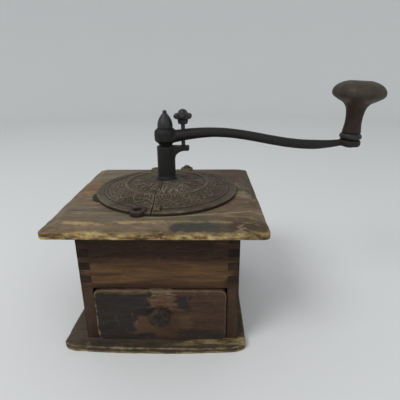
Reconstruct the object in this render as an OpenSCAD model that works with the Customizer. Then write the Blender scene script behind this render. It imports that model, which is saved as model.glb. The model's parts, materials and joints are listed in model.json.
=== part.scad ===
// Box coffee grinder: a wooden case with a drawer, a domed iron plate with a
// swinging half lid, and a crank that turns a cone burr under the hopper.
// Millimetres. X is to the right, Y to the back, Z up.
// The origin is on the floor, under the middle of the case.

/* [Base board] */
// Width of the base board, left to right
base_w = 166; // [160:1:184]
// Depth of the base board, front to back
base_d = 164; // [156:1:184]
// Thickness of the base board
base_t = 6.5; // [5:0.5:12]
// Corner radius of the base board
base_corner = 4; // [1:0.5:10]
// How far the base board sits off centre, to the left
base_offset = 5; // [0:0.5:6]

/* [Case] */
// Outside width of the case
case_w = 140; // [132:1:150]
// Outside depth of the case
case_d = 142; // [134:1:150]
// Height of the case boards
case_h = 112; // [110:1:130]
// Thickness of the case boards
wall_t = 10; // [8:0.5:12]
// Height of the front board above the drawer
front_h = 57; // [50:1:58]
// Pitch of the corner fingers
finger_pitch = 13; // [10:0.5:18]
// Height of one finger of a side board
finger_h = 7.4; // [5:0.2:8]

/* [Top board] */
// Width of the top board
top_w = 183; // [178:1:200]
// Depth of the top board
top_d = 182.5; // [178:0.5:200]
// Thickness of the top board in the middle
top_t = 10.5; // [9:0.5:14]
// Thickness of the top board at its edge
top_edge_t = 6; // [4:0.5:8]
// Width of the bevel round the top board
bevel_w = 12; // [6:0.5:16]
// Corner radius of the top board
top_corner = 5; // [1:0.5:10]
// Side of the square glue blocks in the upper corners
block_w = 14; // [10:0.5:16]
// Length of the glue blocks
block_h = 30; // [20:1:40]

/* [Drawer] */
// Gap on each side of the drawer
drawer_side_gap = 0.7; // [0.4:0.1:1.5]
// Gap above the drawer front
drawer_top_gap = 1.2; // [0.5:0.1:3]
// Running gap under the drawer
drawer_lift = 0.3; // [0.2:0.1:0.6]
// How far the drawer front stands proud of the case
drawer_proud = 2.5; // [0:0.5:6]
// Thickness of the drawer front
drawer_front_t = 11; // [9:0.5:14]
// Corner radius of the drawer front
drawer_corner = 6; // [2:0.5:10]
// Thickness of the drawer sides and back
drawer_wall_t = 6; // [4:0.5:8]
// Thickness of the drawer bottom
drawer_bottom_t = 4; // [3:0.5:6]
// Height of the drawer sides above the drawer's underside
drawer_side_h = 42; // [34:1:46]
// How much lower the drawer back is than the drawer sides
drawer_back_drop = 5; // [2:0.5:12]
// Depth of the rabbets that hold the sides in the drawer front
drawer_rabbet = 5; // [3:0.5:6]
// Gap between the drawer and the back board
drawer_back_gap = 3; // [1:0.5:10]
// Radius of the drawer knob
knob_r = 9.6; // [6:0.1:11]
// How far the drawer knob stands out
knob_reach = 12; // [7:0.5:16]
// Sideways place of the drawer knob
knob_x = 0; // [-4:0.5:4]
// Height of the drawer knob above the drawer's underside
knob_h = 31; // [22:0.5:34]

/* [Iron plate] */
// Sideways place of the spindle
axis_x = 2.3; // [0:0.1:4]
// Front to back place of the spindle
axis_y = 0.5; // [-2:0.1:2]
// Radius of the round plate
plate_r = 69.2; // [66:0.2:74]
// Thickness of the plate's rim
rim_t = 3.4; // [2.5:0.1:5]
// Width of the plain rim
rim_w = 9.2; // [6:0.2:12]
// Thickness of the domed casting
shell_t = 3; // [2.5:0.1:4]
// Height of the bead ring above the board
ring_rise = 8.4; // [7:0.1:9.6]
// Radius of the bead ring on the dome
ring_r = 40; // [36:0.5:44]
// Height of the dome at its hub, above the board
dome_rise = 12; // [11:0.1:14]
// Radius of the hub that carries the column
hub_r = 9.2; // [8.4:0.1:9.4]
// Width of the gap along the split
split_gap = 0.8; // [0.5:0.1:1.5]
// Place of the split near the hub, left of the spindle
split_inner = 3; // [2:0.1:4]
// Place of the split near the rim, left of the spindle
split_outer = 6.4; // [5:0.1:8]
// Distance of the step in the split from the spindle
split_step = 28; // [20:0.5:34]
// Place of the split at the back, right of the spindle
split_back = 4; // [3:0.1:5]
// Running gap under the swinging lid
lid_lift = 0.3; // [0.2:0.1:0.6]
// Radius of the round ears
ear_r = 7; // [6:0.1:8]
// Height of the round ears above the board
ear_h = 5; // [4:0.1:6]
// Angle of the two ears of the fixed half, from the spindle's left side
ear_angle = 74; // [68:0.5:75]
// Radius of the screw seat in an ear
ear_seat_r = 4; // [3.4:0.1:4.6]
// Distance of the lid pivot from the spindle
pivot_d = 69.5; // [68:0.1:72]
// Angle of the lid pivot, from the spindle's right side
pivot_angle = 76.6; // [74:0.1:78]
// Radius of the lid pivot screw
pivot_r = 2.5; // [2:0.1:3]
// Radius of the lid pivot screw's head
pivot_head_r = 3.9; // [3.4:0.1:4.6]
// Radius of the low tab at the left of the plate
tab_r = 15; // [12:0.5:16]
// Thickness of the low tab
tab_t = 2; // [1.5:0.1:2.4]

/* [Hopper] */
// Radius of the hopper's mouth
mouth_r = 41; // [36:0.5:42]
// Depth of the bowl from the board's top to the burr housing
bowl_depth = 37; // [34:0.5:38]
// Wall of the hopper casting
bowl_wall = 3; // [2.5:0.1:4]
// Width of the hopper's flange
flange_w = 10; // [9:0.5:11]
// Thickness of the hopper's flange
flange_t = 2.5; // [2:0.1:3.5]
// Bore radius of the burr housing
housing_r = 17; // [16.5:0.1:18]
// Height of the burr housing
housing_h = 24; // [22:0.5:24]
// Wall of the burr ring at its lower edge
ring_wall = 1.8; // [1.4:0.1:2.2]
// Thickness of the bridge bar
bridge_t = 5; // [4:0.5:5.5]
// Width of the bridge bar
bridge_w = 11; // [10:0.5:14]

/* [Spindle and burr] */
// Radius of the spindle
spindle_r = 5; // [4.5:0.1:5.5]
// Radius of the spindle's ends
journal_r = 3.5; // [3:0.1:4]
// Depth of the flat along the spindle
flat_depth = 1; // [0.6:0.1:1.5]
// Radial running clearance of the spindle
run_gap = 0.06; // [0.03:0.01:0.1]
// Radius of the runner burr's body at its top
runner_top_r = 7; // [6.8:0.1:7.6]
// Radius of the runner burr's body at its bottom
runner_bottom_r = 12.2; // [11:0.1:12.6]
// Height of the runner burr
runner_h = 20; // [16:0.5:21]
// How far the crank can lift the spindle to set the grind
grind_travel = 2; // [1:0.1:2.5]

/* [Column] */
// Radius of the column
column_r = 8.7; // [8.2:0.1:9.4]
// Radius of the flare at the column's foot
column_foot_r = 9.8; // [9.4:0.1:11]
// Height of the column
column_h = 32.6; // [28:0.2:38]
// Reach of the stop lug from the spindle
lug_reach = 22.7; // [21:0.1:26]
// Thickness of the lug's tip
lug_t = 4.4; // [3:0.1:6]
// Width of the lug
lug_w = 9; // [6:0.5:12]
// Height of the curved gusset under the lug
gusset_h = 8.4; // [4:0.1:12]

/* [Crank] */
// Radius of the crank hub
crank_hub_r = 10.4; // [9.6:0.1:12]
// Height of the crank hub
crank_hub_h = 14.4; // [12:0.2:18]
// Height of the neck under the crank hub
crank_neck_h = 2.5; // [2:0.1:4]
// Distance from the spindle to the handle
crank_len = 175.5; // [150:0.5:190]
// Height of the S bend of the arm, crest to trough
arm_bend = 12; // [6:0.5:20]
// Distance of the bend's crest from the spindle
arm_crest = 45; // [36:0.5:56]
// Distance of the bend's trough from the handle
arm_trough = 33; // [24:0.5:44]
// Half thickness of the arm along its middle
arm_r = 4.45; // [3.8:0.05:5]
// Half thickness of the arm at the crank hub
arm_root_r = 6; // [5.2:0.1:6.4]
// Half thickness of the arm at the handle's boss
arm_tip_r = 3; // [2.8:0.05:3.2]
// Distance of the thumb screw from the spindle
screw_d = 17; // [16.6:0.1:19]
// Radius of the thumb screw's thread
screw_r = 1.95; // [1.6:0.05:2.4]
// Length of the thumb screw under its head
screw_len = 20.8; // [20.4:0.1:26]
// Radius of the thumb screw's head
screw_head_r = 9; // [7:0.1:9.3]
// Height of the acorn nut
nut_h = 16.8; // [14.5:0.2:20]
// Radius of the acorn nut's foot
nut_r = 7.3; // [6:0.1:8]

/* [Handle] */
// Outward lean of the handle
handle_lean = 3.3; // [0:0.1:6]
// Radius of the boss at the end of the arm
boss_r = 10; // [9:0.1:12]
// Height of the boss
boss_h = 6; // [5.8:0.1:8]
// Height of the handle's ferrule
ferrule_h = 6.2; // [4:0.1:7]
// Radius of the handle's ferrule
ferrule_r = 10.1; // [9.5:0.1:12]
// Height of the wooden handle
handle_h = 46.9; // [42:0.1:54]
// Radius of the wooden handle's head
handle_r = 23.4; // [20:0.1:28]
// Radius of the handle's pin
pin_r = 3; // [2.5:0.1:3.5]

/* [Hidden] */

$fn = 72;
// Extra length of a cut beyond the surface that it breaks through
cut = 1;
// Gap round a screw or nail in its hole
hole_gap = 0.06;

case_top = base_t + case_h;
board_top = case_top + top_t;
inner_w = case_w - 2 * wall_t;
inner_d = case_d - 2 * wall_t;
bay_h = case_h - front_h;
front_fingers = floor(front_h / finger_pitch);
back_fingers = floor(case_h / finger_pitch);

nail_r = 1;
nail_head_r = 2.4;
nail_head_h = 1.2;
nail_len = 24;
wood_screw_r = 2;
wood_screw_head_r = 3.6;
wood_screw_head_h = 2.4;
block_screw_bite = 7;

drawer_w = inner_w - 2 * drawer_side_gap;
drawer_z = base_t + drawer_lift;
drawer_front_h = bay_h - drawer_lift - drawer_top_gap;
drawer_y = -case_d / 2 - drawer_proud;
drawer_back_y = case_d / 2 - wall_t - drawer_back_gap;
drawer_panel_y = drawer_y + drawer_front_t;
drawer_nail_r = 0.8;
drawer_nail_len = 12;
knob_neck_r = 4.6;
knob_neck_h = 4;
knob_socket = 5;

// The dome's slope, taken from the rim to the bead ring and on to the hub
bead_r = 2;
rim_inner_r = plate_r - rim_w;
rim_edge = 0.8;
hub_top = dome_rise + 0.7;
hub_drop = 1;
cutout_gap = 0.8;
tab_angle = 22;
thumb_inset = 0.9;
thumb_w = 5.6;
thumb_l = 11;
thumb_h = 2;
thumb_ribs = 4;
pivot_x = pivot_d * cos(pivot_angle);
pivot_y = pivot_d * sin(pivot_angle);
pivot_head_h = 3.2;
ear_d = plate_r - 2;
ear_screw_r = 2;
ear_seat_depth = 2.5;
bolt_angle = 32;
bolt_bite = 2.4;
screw_bite = 8;

flange_r = mouth_r + bowl_wall + flange_w;
board_hole_r = mouth_r + bowl_wall + 1;
rebate_gap = 0.4;
bowl_screw_d = flange_r - flange_w / 2 + 1;
bowl_screw_r = 1.5;
bowl_screw_head_r = 2.4;
bowl_screw_len = 7;
housing_top = board_top - bowl_depth;
housing_bottom = housing_top - housing_h;
housing_outer_r = housing_r + bowl_wall;
ring_gap = 0.06;
ring_h = 20;
ring_teeth = 18;
runner_z = housing_top - runner_h - 1;
runner_teeth = 9;
bridge_ear_r = 5;
bridge_ear_d = housing_outer_r + bridge_ear_r - 1;
bridge_ear_h = 8;
bridge_top = housing_bottom;
bridge_bottom = bridge_top - bridge_t;

spindle_bottom = bridge_bottom - 3;
journal_top = bridge_top + grind_travel + 0.5;
column_z = board_top + hub_top;
column_top = column_z + column_h;
crank_hub_z = column_top + crank_neck_h;
crank_hub_top = crank_hub_z + crank_hub_h;
thread_top = crank_hub_top + 9;
flat_bottom = column_z - grind_travel - 1;
crank_neck_r = 6.4;
hub_chamfer = 2.8;

// The arm's centre line is a wave with its crest near the hub and its trough near the handle
arm_half_wave = crank_len - arm_trough - arm_crest;
arm_mid_z = crank_hub_z + crank_hub_h / 2 + 3 - arm_bend / 2;
arm_start = crank_hub_r - 5;
arm_end = crank_len - boss_r + 2.5;
arm_steps = 26;
arm_sides = 12;
boss_z = arm_height(crank_len - boss_r);
screw_collar_h = 4.6;
screw_collar_r = 5.3;
screw_head_h = 5.6;
screw_dome_r = 4.4;
screw_dome_h = 3.6;
screw_lobes = 6;

handle_play = 0.2;
ferrule_z = boss_h / 2 + handle_play;
handle_z = ferrule_z + ferrule_h;
handle_top = handle_z + handle_h;
pin_head_r = 4.6;
pin_head_h = 2;
pin_seat_r = 5.4;
pin_seat_h = 3;
rivet_h = 1.2;

// The handle's outline: radius as a share of its head's, height as a share of its own
handle_outline = [[0.37, 0], [0.35, 0.06], [0.325, 0.15], [0.318, 0.24], [0.325, 0.33], [0.35, 0.42],
    [0.38, 0.48], [0.43, 0.53], [0.53, 0.585], [0.73, 0.635], [0.9, 0.685], [0.98, 0.725], [1, 0.765],
    [0.99, 0.81], [0.94, 0.865], [0.83, 0.92], [0.63, 0.97], [0.4, 1]];

function arm_height(x) = arm_mid_z + arm_bend / 2 * cos(180 * (x - arm_crest) / arm_half_wave);

function arm_half(x) = lookup(x, [[arm_start, arm_root_r], [arm_crest, arm_r],
    [crank_len - arm_trough, arm_r], [arm_end, arm_tip_r]]);

// Height of the dome's top side above the board, at a distance from the spindle
function dome_height(r) = r > ring_r
    ? rim_t + 0.4 + (ring_rise - rim_t - 0.4) * (rim_inner_r - r) / (rim_inner_r - ring_r)
    : ring_rise + (dome_rise - ring_rise) * (ring_r - r) / (ring_r - hub_r);

module on_axis() {
    translate([axis_x, axis_y, 0]) children();
}

module on_handle() {
    on_axis() translate([crank_len, 0, boss_z]) rotate([0, handle_lean, 0]) children();
}

module box(lo, hi) {
    translate(lo) cube(hi - lo);
}

module rounded_rect(w, d, r) {
    square([w - 2 * r, d], center = true);
    square([w, d - 2 * r], center = true);
    for (x = [-1, 1], y = [-1, 1]) translate([x * (w / 2 - r), y * (d / 2 - r)]) circle(r);
}

// A nail or flat headed screw with its point at the bottom and its head on top
module flat_screw(r, length, head_r, head_h) {
    rotate_extrude() polygon([[0, 0], [r * 0.5, 0], [r, r * 1.5], [r, length - head_h],
        [head_r, length - head_h], [head_r, length], [0, length]]);
}

module countersunk_screw(r, length, head_r) {
    rotate_extrude() polygon([[0, 0], [r * 0.5, 0], [r, r * 1.5], [r, length - head_r + r],
        [head_r, length], [0, length]]);
}

// Side board fingers at one end, seen from above the case's corner
module finger_row(count, spill) {
    for (k = [1:count])
        translate([-spill, -spill, case_top - k * finger_pitch])
            cube([wall_t + spill, wall_t + spill, finger_h]);
}

module base_nail_places() {
    for (s = [-1, 1], y = [-1, 0, 1])
        translate([s * (case_w - wall_t) / 2, y * (inner_d / 2 - 6), 0]) children();
}

module base_board() {
    color("#4a4038") difference() {
        translate([-base_offset, 0, 0]) linear_extrude(base_t) rounded_rect(base_w, base_d, base_corner);
        base_nail_places() {
            translate([0, 0, -cut]) cylinder(r = nail_r + hole_gap, h = base_t + 2 * cut);
            translate([0, 0, -cut]) cylinder(r = nail_head_r + 0.3, h = nail_head_h + 0.4 + cut);
        }
    }
}

module base_nails() {
    color("#5a5450") base_nail_places()
        translate([0, 0, nail_len + 0.4]) mirror([0, 0, 1])
            flat_screw(nail_r, nail_len, nail_head_r, nail_head_h);
}

// The left board; the right one is its mirror image
module side_board() {
    difference() {
        translate([-case_w / 2, -case_d / 2, 0]) union() {
            translate([0, wall_t, base_t]) cube([wall_t, inner_d, case_h]);
            translate([0, 0, base_t]) cube([wall_t, wall_t + cut, bay_h]);
            finger_row(front_fingers, 0);
            for (k = [1:front_fingers])
                translate([0, wall_t / 2, case_top - k * finger_pitch])
                    cube([wall_t, wall_t / 2 + cut, finger_h]);
            translate([0, case_d, 0]) mirror([0, 1, 0]) finger_row(back_fingers, 0);
            for (k = [1:back_fingers])
                translate([0, case_d - wall_t - cut, case_top - k * finger_pitch])
                    cube([wall_t, wall_t / 2 + cut, finger_h]);
        }
        base_nail_places() cylinder(r = nail_r + hole_gap, h = nail_len + 2);
    }
}

module left_side() {
    color("#3b2a20") side_board();
}

module right_side() {
    color("#3b2a20") mirror([1, 0, 0]) side_board();
}

module front_board() {
    color("#5f4030") difference() {
        box([-case_w / 2, -case_d / 2, case_top - front_h], [case_w / 2, -case_d / 2 + wall_t, case_top]);
        for (s = [0, 1]) mirror([s, 0, 0])
            translate([-case_w / 2, -case_d / 2, 0]) finger_row(front_fingers, cut);
    }
}

module back_board() {
    color("#5f4030") difference() {
        box([-case_w / 2, case_d / 2 - wall_t, base_t], [case_w / 2, case_d / 2, case_top]);
        for (s = [0, 1]) mirror([s, 0, 0])
            translate([-case_w / 2, case_d / 2, 0]) mirror([0, 1, 0]) finger_row(back_fingers, cut);
    }
}

module block_places() {
    for (x = [-1, 1], y = [-1, 1])
        translate([x * (inner_w - block_w) / 2, y * (inner_d - block_w) / 2, case_top - block_h]) children();
}

module corner_blocks() {
    color("#7a5c40") block_places() difference() {
        translate([-block_w / 2, -block_w / 2, 0]) cube([block_w, block_w, block_h]);
        translate([0, 0, -cut]) cylinder(r = wood_screw_r + hole_gap, h = block_h + 2 * cut);
    }
}

module block_screws() {
    color("#5a5450") block_places()
        translate([0, 0, block_h + block_screw_bite]) mirror([0, 0, 1])
            flat_screw(wood_screw_r, block_h + block_screw_bite + wood_screw_head_h,
                wood_screw_head_r, wood_screw_head_h);
}

// What is taken off one edge of the top board to leave its bevel
module bevel_cut(half, run) {
    rotate([90, 0, 0]) linear_extrude(run, center = true)
        polygon([[half - bevel_w, top_t], [half, top_edge_t], [half + 2 * cut, top_edge_t],
            [half + 2 * cut, top_t + cut], [half - bevel_w, top_t + cut]]);
}

module ear_places() {
    for (s = [-1, 1]) rotate(180 - s * ear_angle) translate([ear_d, 0, 0]) children();
}

module bolt_places() {
    for (s = [-1, 1]) rotate(180 + s * bolt_angle) translate([plate_r - rim_w / 2, 0, 0]) children();
}

module bowl_screw_places() {
    for (a = [30:120:270]) rotate(a) translate([bowl_screw_d, 0, 0]) children();
}

module top_board() {
    color("#7a6a52") difference() {
        translate([0, 0, case_top]) difference() {
            linear_extrude(top_t) rounded_rect(top_w, top_d, top_corner);
            for (s = [0, 1]) {
                mirror([s, 0, 0]) bevel_cut(top_w / 2, top_d + 4 * cut);
                rotate(90) mirror([s, 0, 0]) bevel_cut(top_d / 2, top_w + 4 * cut);
            }
        }
        on_axis() {
            translate([0, 0, case_top - cut]) cylinder(r = board_hole_r, h = top_t + 2 * cut);
            translate([0, 0, board_top - flange_t]) cylinder(r = flange_r + rebate_gap, h = flange_t + cut);
            ear_places() translate([0, 0, board_top - screw_bite])
                cylinder(r = ear_screw_r + hole_gap, h = screw_bite + cut);
            translate([pivot_x, pivot_y, board_top - screw_bite])
                cylinder(r = pivot_r + hole_gap, h = screw_bite + cut);
            bolt_places() translate([0, 0, case_top - cut])
                cylinder(r = ear_screw_r + hole_gap, h = top_t + 2 * cut);
            bowl_screw_places() translate([0, 0, board_top - screw_bite])
                cylinder(r = bowl_screw_r + hole_gap, h = screw_bite);
        }
        block_places() cylinder(r = wood_screw_r + hole_gap, h = block_h + block_screw_bite + 0.5);
    }
}

module drawer_screw_hole() {
    translate([knob_x, drawer_y - cut, drawer_z + knob_h]) rotate([-90, 0, 0])
        cylinder(r = wood_screw_r + hole_gap, h = drawer_front_t + 2 * cut);
}

module drawer_nail_places() {
    for (s = [0, 1], z = [0.3, 0.75]) mirror([s, 0, 0])
        translate([-drawer_w / 2, drawer_panel_y - drawer_rabbet / 2, drawer_z + drawer_side_h * z])
            rotate([0, 90, 0]) children();
}

module drawer_front() {
    color("#5a4034") difference() {
        translate([0, drawer_panel_y, drawer_z + drawer_front_h / 2]) rotate([90, 0, 0])
            linear_extrude(drawer_front_t) rounded_rect(drawer_w, drawer_front_h, drawer_corner);
        for (s = [0, 1]) mirror([s, 0, 0])
            box([-drawer_w / 2 - cut, drawer_panel_y - drawer_rabbet, drawer_z + drawer_bottom_t],
                [-drawer_w / 2 + drawer_wall_t, drawer_panel_y + cut, drawer_z + drawer_side_h]);
        drawer_nail_places() cylinder(r = drawer_nail_r + hole_gap, h = drawer_nail_len + 1);
        drawer_screw_hole();
    }
}

module drawer_side() {
    difference() {
        box([-drawer_w / 2, drawer_panel_y - drawer_rabbet, drawer_z + drawer_bottom_t],
            [-drawer_w / 2 + drawer_wall_t, drawer_back_y, drawer_z + drawer_side_h]);
        drawer_nail_places() translate([0, 0, -cut])
            cylinder(r = drawer_nail_r + hole_gap, h = drawer_nail_len);
    }
}

module drawer_left() {
    color("#8a6a48") drawer_side();
}

module drawer_right() {
    color("#8a6a48") mirror([1, 0, 0]) drawer_side();
}

module drawer_back() {
    color("#8a6a48") box(
        [-drawer_w / 2 + drawer_wall_t, drawer_back_y - drawer_wall_t, drawer_z + drawer_bottom_t],
        [drawer_w / 2 - drawer_wall_t, drawer_back_y, drawer_z + drawer_side_h - drawer_back_drop]);
}

module drawer_bottom() {
    color("#94744e")
        box([-drawer_w / 2, drawer_panel_y, drawer_z],
            [drawer_w / 2, drawer_back_y, drawer_z + drawer_bottom_t]);
}

module drawer_nails() {
    color("#5a5450") drawer_nail_places()
        cylinder(r = drawer_nail_r, h = drawer_nail_len);
}

// The knob lies along -Y: its profile is drawn from the drawer front outwards
module drawer_knob() {
    head_h = knob_reach - knob_neck_h;
    color("#2c2622") translate([knob_x, drawer_y, drawer_z + knob_h]) rotate([90, 0, 0]) difference() {
        rotate_extrude() polygon(concat([[0, 0], [knob_neck_r + 1, 0], [knob_neck_r, knob_neck_h / 2],
            [knob_neck_r, knob_neck_h]],
            [for (a = [-60:15:90]) [knob_r - head_h / 2 + head_h / 2 * cos(a),
                knob_neck_h + head_h / 2 + head_h / 2 * sin(a)]],
            [[0, knob_reach]]));
        translate([0, 0, -cut]) cylinder(r = wood_screw_r + hole_gap, h = knob_socket + 0.5 + cut);
    }
}

module knob_screw() {
    color("#5a5450") translate([knob_x, drawer_y - knob_socket, drawer_z + knob_h]) rotate([-90, 0, 0])
        flat_screw(wood_screw_r, knob_socket + drawer_front_t + wood_screw_head_h,
            wood_screw_head_r, wood_screw_head_h);
}

// Section of the domed casting from an inner radius out to the rim
module dome_section(inner_r, foot) {
    polygon(concat(
        [[inner_r, dome_height(inner_r)]],
        [for (a = [0:30:180]) [ring_r - bead_r * cos(a), ring_rise + bead_r * 0.55 * sin(a)]],
        [for (a = [0:45:180]) [rim_inner_r - 0.9 * cos(a), rim_t + 0.4 + 0.9 * sin(a)]],
        [[plate_r - rim_edge, rim_t], [plate_r, rim_t - rim_edge], [plate_r, foot],
            [rim_inner_r + 2, foot], [rim_inner_r - 1, foot + 0.5]],
        [[ring_r, ring_rise - shell_t], [inner_r, dome_height(inner_r) - shell_t]]));
}

// Outline of the swinging half: everything right of the stepped split line
module lid_outline() {
    far = plate_r + 5 * cut;
    polygon([[-split_inner, 0], [-split_inner, -split_step - split_gap],
        [-split_outer, -split_step - split_gap], [-split_outer, -far], [far, -far], [far, far],
        [split_back, far], [split_back, 0]]);
}

// Outline of the fixed half: left of the same line, less the gap
module fixed_outline() {
    far = plate_r + 5 * cut;
    polygon([[-split_inner - split_gap, 0], [-split_inner - split_gap, -split_step],
        [-split_outer - split_gap, -split_step], [-split_outer - split_gap, -far], [-far, -far],
        [-far, far], [split_back - split_gap, far], [split_back - split_gap, 0]]);
}

module plate_half(foot, inner_r) {
    intersection() {
        rotate_extrude($fn = 120) dome_section(inner_r, foot);
        translate([0, 0, -cut]) linear_extrude(dome_rise + 4 * cut) children();
    }
}

module fixed_plate() {
    color("#4b4038") on_axis() translate([0, 0, board_top]) difference() {
        union() {
            plate_half(0, hub_r - 2) fixed_outline();
            translate([0, 0, -hub_drop]) cylinder(r = hub_r, h = hub_top + hub_drop);
            ear_places() cylinder(r = ear_r, h = ear_h);
            rotate(180 + tab_angle) intersection() {
                translate([plate_r + 4 - tab_r, 0, 0]) cylinder(r = tab_r, h = tab_t);
                translate([rim_inner_r + 3, -2 * tab_r, -cut]) cube([4 * tab_r, 4 * tab_r, tab_t + 2 * cut]);
            }
        }
        translate([0, 0, -hub_drop - cut])
            cylinder(r = spindle_r + run_gap, h = hub_top + hub_drop + 2 * cut);
        ear_places() {
            translate([0, 0, -cut]) cylinder(r = ear_screw_r + hole_gap, h = ear_h + 2 * cut);
            translate([0, 0, ear_h - ear_seat_depth]) cylinder(r = ear_seat_r, h = ear_seat_depth + cut);
        }
        bolt_places() translate([0, 0, -cut]) cylinder(r = ear_screw_r + hole_gap, h = bolt_bite + 0.3 + cut);
    }
}

module swing_lid() {
    color("#4d4138") on_axis() translate([0, 0, board_top]) difference() {
        union() {
            plate_half(lid_lift, hub_r + cutout_gap) lid_outline();
            translate([pivot_x, pivot_y, lid_lift]) cylinder(r = ear_r, h = ear_h - lid_lift);
            translate([thumb_inset - split_outer, -plate_r + 3.5, rim_t - 1]) {
                cube([thumb_w, thumb_l, thumb_h + 1]);
                for (k = [1:thumb_ribs])
                    translate([0, k * thumb_l / (thumb_ribs + 1), thumb_h + 1]) rotate([0, 90, 0])
                        cylinder(r = 0.7, h = thumb_w, $fn = 24);
            }
        }
        translate([pivot_x, pivot_y, -cut]) cylinder(r = pivot_r + hole_gap, h = ear_h + 2 * cut);
    }
}

module lid_pivot_screw() {
    color("#3a3430") on_axis() translate([pivot_x, pivot_y, board_top]) rotate_extrude()
        polygon(concat([[0, 1 - screw_bite], [pivot_r * 0.6, 1 - screw_bite], [pivot_r, 3 - screw_bite],
            [pivot_r, ear_h + 0.1], [pivot_head_r, ear_h + 0.1]],
            [for (a = [0:15:90]) [pivot_head_r * cos(a), ear_h + 1.1 + (pivot_head_h - 1) * sin(a)]]));
}

// Only the back ear still holds its screw
module plate_screw() {
    head_h = ear_seat_depth - 0.6;
    color("#3a3430") on_axis() rotate(180 - ear_angle) translate([ear_d, 0, board_top + 1 - screw_bite])
        flat_screw(ear_screw_r, screw_bite + ear_h - 1 - ear_seat_depth + head_h, ear_seat_r - 0.3, head_h);
}

// Bolts that hold the fixed half from under the top board
module plate_bolts() {
    color("#3a3430") on_axis() bolt_places() translate([0, 0, board_top + bolt_bite]) mirror([0, 0, 1])
        flat_screw(ear_screw_r, bolt_bite + top_t + wood_screw_head_h, wood_screw_head_r, wood_screw_head_h);
}

// The bowl narrows along a quarter of an ellipse from its mouth to the burr housing
module hopper_bowl() {
    outer_span = mouth_r + bowl_wall - housing_outer_r;
    inner_span = mouth_r - housing_r;
    flange_z = board_top - flange_t;
    color("#3c3632") on_axis() difference() {
        union() {
            rotate_extrude() polygon(concat([[flange_r, board_top], [flange_r, flange_z]],
                [for (a = [0:15:90]) [housing_outer_r + outer_span * cos(a),
                    flange_z - (flange_z - housing_top - 2) * sin(a)]],
                [[housing_outer_r, housing_bottom], [housing_r, housing_bottom]],
                [for (a = [90:-15:0]) [housing_r + inner_span * cos(a),
                    flange_z - (flange_z - housing_top - 4) * sin(a)]],
                [[mouth_r, board_top]]));
            for (s = [-1, 1]) translate([s * bridge_ear_d, 0, housing_bottom])
                cylinder(r = bridge_ear_r, h = bridge_ear_h);
        }
        bowl_screw_places() translate([0, 0, board_top - flange_t - cut]) {
            cylinder(r = bowl_screw_r + hole_gap, h = flange_t + 2 * cut);
            translate([0, 0, flange_t + cut - bowl_screw_head_r + bowl_screw_r - hole_gap])
                cylinder(r1 = bowl_screw_r + hole_gap, r2 = bowl_screw_head_r + cut + hole_gap,
                    h = bowl_screw_head_r - bowl_screw_r + cut);
        }
        for (s = [-1, 1]) {
            translate([s * bridge_ear_d, 0, housing_bottom - cut])
                cylinder(r = wood_screw_r + hole_gap, h = bridge_ear_h + 2 * cut);
            translate([0, 0, housing_bottom + housing_h / 2]) rotate([90, 0, 0])
                translate([0, 0, s * housing_outer_r]) cylinder(r = bowl_screw_r + hole_gap,
                    h = 4 * bowl_wall, center = true);
        }
    }
}

module bowl_screws() {
    color("#3a3430") on_axis() bowl_screw_places()
        translate([0, 0, board_top - bowl_screw_len])
            countersunk_screw(bowl_screw_r, bowl_screw_len, bowl_screw_head_r);
}

// The fixed burr: a funnel above, then a toothed cone that opens downwards
module burr_ring() {
    outer_r = housing_r - ring_gap;
    throat_r = outer_r - ring_wall - 2.4;
    lower_r = outer_r - ring_wall;
    ring_z = housing_top - ring_h;
    color("#4a4644") on_axis() difference() {
        union() {
            rotate_extrude() polygon([[outer_r, ring_z], [outer_r, ring_z + ring_h],
                [outer_r - 1, ring_z + ring_h], [throat_r, ring_z + ring_h / 2], [lower_r, ring_z]]);
            for (k = [1:ring_teeth]) rotate(k * 360 / ring_teeth)
                translate([(throat_r + lower_r) / 2, 0, ring_z + ring_h / 4])
                    rotate([0, -atan((lower_r - throat_r) * 2 / ring_h), 0])
                        cube([1.2, 1.2, ring_h / 2 - 2], center = true);
        }
        for (s = [-1, 1]) translate([0, 0, housing_bottom + housing_h / 2]) rotate([90, 0, 0])
            translate([0, 0, s * outer_r]) cylinder(r = bowl_screw_r + hole_gap, h = 2, center = true);
    }
}

module ring_screws() {
    reach = bowl_wall + ring_gap + 0.8;
    color("#3a3430") on_axis() for (s = [0, 1]) rotate(180 * s)
        translate([0, -housing_outer_r + reach, housing_bottom + housing_h / 2]) rotate([90, 0, 0])
            cylinder(r = bowl_screw_r, h = reach);
}

// The turning burr: a cone that widens downwards, with slanted cutting ridges
module runner_burr() {
    slope = atan((runner_bottom_r - runner_top_r) / runner_h);
    color("#4a4644") on_axis() difference() {
        union() {
            translate([0, 0, runner_z]) cylinder(r1 = runner_bottom_r, r2 = runner_top_r, h = runner_h);
            for (k = [1:runner_teeth]) rotate(k * 360 / runner_teeth)
                translate([(runner_top_r + runner_bottom_r) / 2 - 0.2, 0, runner_z + runner_h / 2])
                    rotate([12, -slope, 0]) cube([1.8, 1.6, runner_h - 4], center = true);
        }
        translate([0, 0, runner_z - cut]) cylinder(r = spindle_r + ring_gap, h = runner_h + 2 * cut);
        translate([0, 0, runner_z + runner_h / 2]) rotate([90, 0, 0])
            cylinder(r = bowl_screw_r + hole_gap, h = 3 * runner_bottom_r, center = true);
    }
}

module runner_pin() {
    color("#5a5450") on_axis() translate([0, 0, runner_z + runner_h / 2]) rotate([90, 0, 0])
        cylinder(r = bowl_screw_r, h = runner_top_r + runner_bottom_r - 2, center = true);
}

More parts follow.
